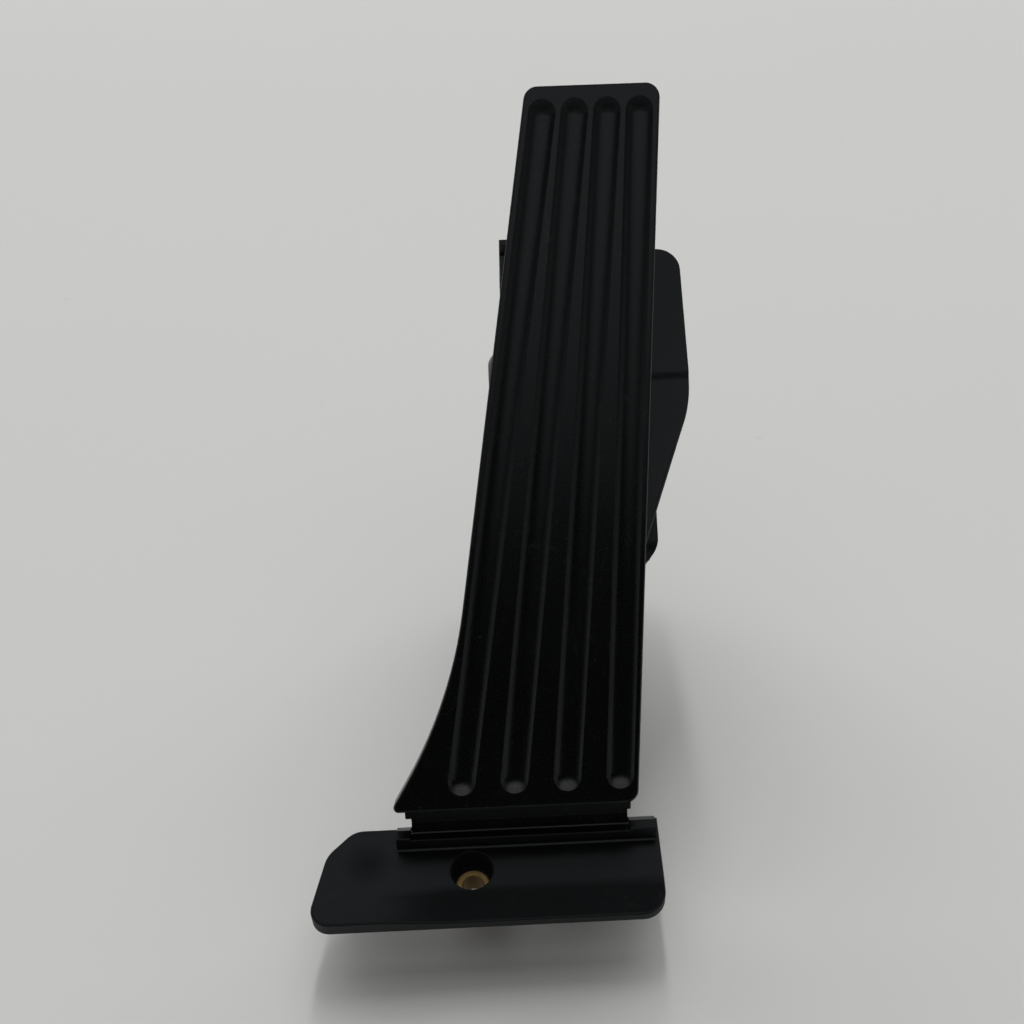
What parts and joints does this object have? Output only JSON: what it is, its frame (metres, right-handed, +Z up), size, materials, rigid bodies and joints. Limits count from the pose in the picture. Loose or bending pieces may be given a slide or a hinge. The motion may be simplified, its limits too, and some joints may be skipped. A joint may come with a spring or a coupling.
{
  "type": "accelerator pedal",
  "caption": "Floor-hinged accelerator pedal module: fanned grooves on a swept plastic pedal, foot plate with recessed bolt bush, wedge carrier and sprung lever that turns an angle sensor.",
  "frame": {"origin": "axis of the foot bolt's bush, inside the bush and 9.5 mm above the floor", "axes": "+X to the driver's right along the hinge, +Y forward under the pedal, +Z up from the floor"},
  "size_m": [0.1323, 0.2235, 0.2152],
  "materials": {
    "carrier_plastic": "fine grained black moulding",
    "pedal_plastic": "fine grained black moulding, slightly worn",
    "housing_plastic": "fine grained dark grey moulding",
    "lever_plastic": "glass filled dark grey moulding",
    "slide_plastic": "smooth natural white slide plastic",
    "bearing_plastic": "smooth tan bearing plastic",
    "brass": "turned, slightly tarnished",
    "steel": "ground",
    "spring_steel": "drawn wire",
    "screw_steel": "zinc plated",
    "rotor_metal": "stamped sheet",
    "board": "green solder mask",
    "contact_metal": "tinned contacts",
    "seal_rubber": "moulded silicone",
    "buffer_rubber": "moulded rubber"
  },
  "bodies": {
    "base": {"carrier": "carrier_plastic", "foot_bush": "brass", "hinge_pin": "steel", "sensor_housing": "housing_plastic", "housing_seal": "seal_rubber", "housing_screws": "screw_steel", "circuit_board": "board", "connector_pins": "contact_metal", "lever_shaft": "steel", "full_stop_buffers": "buffer_rubber", "rest_stop_buffer": "buffer_rubber", "left_return_spring": "spring_steel", "right_return_spring": "spring_steel"},
    "pedal": {"pedal_plate": "pedal_plastic", "slide_pad": "slide_plastic"},
    "lever": {"sensor_lever": "lever_plastic", "lever_bushes": "bearing_plastic", "roller_pin": "steel", "rotor": "rotor_metal"},
    "wheel": {"roller": "slide_plastic"}
  },
  "joints": [
    {"name": "pedal_hinge", "type": "hinge", "parent": "base", "child": "pedal", "pos_m": [0, 0.0132, 0.0135], "axis": [-1, 0, 0], "range_deg": [0, 16], "stiffness_Nm_per_rad": 12, "springref_deg": -17.19},
    {"name": "lever_turn", "type": "hinge", "parent": "base", "child": "lever", "pos_m": [0.04275, 0.10228, 0.05604], "axis": [-1, 0, 0], "range_deg": [0, 35.5], "deforming": ["left_return_spring", "right_return_spring"]},
    {"name": "roller_spin", "type": "hinge", "parent": "lever", "child": "wheel", "pos_m": [0.04275, 0.11245, 0.13596], "axis": [1, 0, 0], "continuous": true}
  ],
  "couplings": [
    {"joint": "lever_turn", "follows": "pedal_hinge", "ratio": 2.2}
  ]
}
